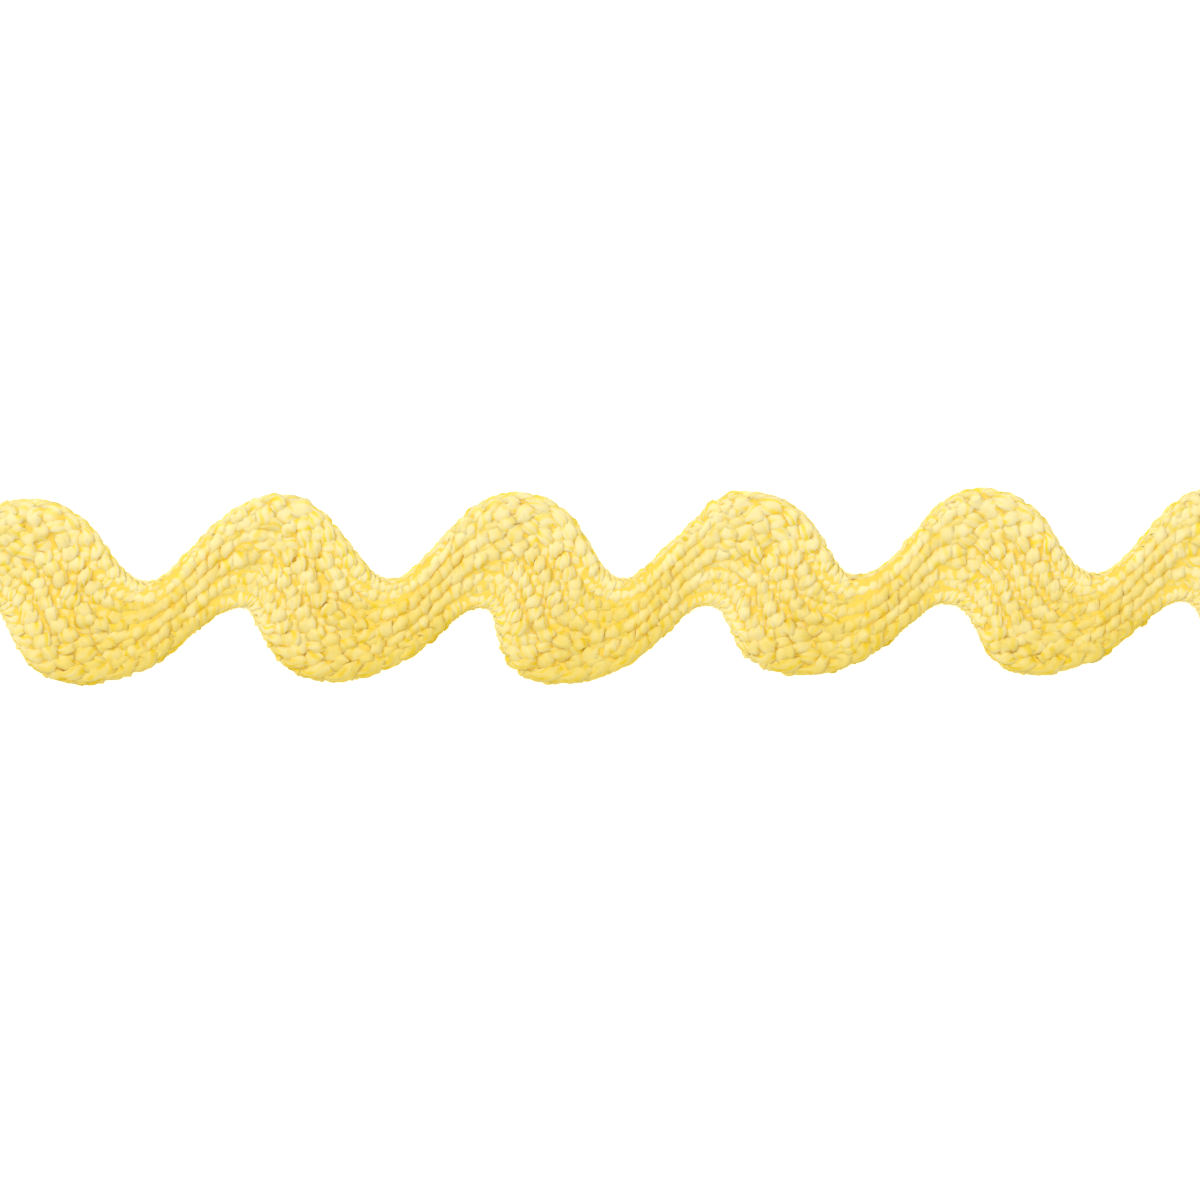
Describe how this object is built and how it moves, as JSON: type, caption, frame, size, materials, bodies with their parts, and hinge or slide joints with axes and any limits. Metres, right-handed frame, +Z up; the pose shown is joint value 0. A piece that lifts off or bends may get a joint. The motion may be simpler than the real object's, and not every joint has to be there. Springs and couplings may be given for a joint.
{
  "type": "cut length of ric rac trim",
  "caption": "Flat braided zigzag trim in pale yellow, with deep rounded waves, raised ribs along the braid and straight cut ends.",
  "frame": {"origin": "centre of the bounding box, on the flat underside", "axes": "+X along the trim, +Y across its waves towards the broad side of the crests, +Z up out of its face"},
  "size_m": [0.0908, 0.0124, 0.0013],
  "materials": {
    "yellow_cotton": "soft matt spun cotton yarn, pale yellow"
  },
  "bodies": {
    "root": {"ric_rac": "yellow_cotton"}
  },
  "joints": []
}
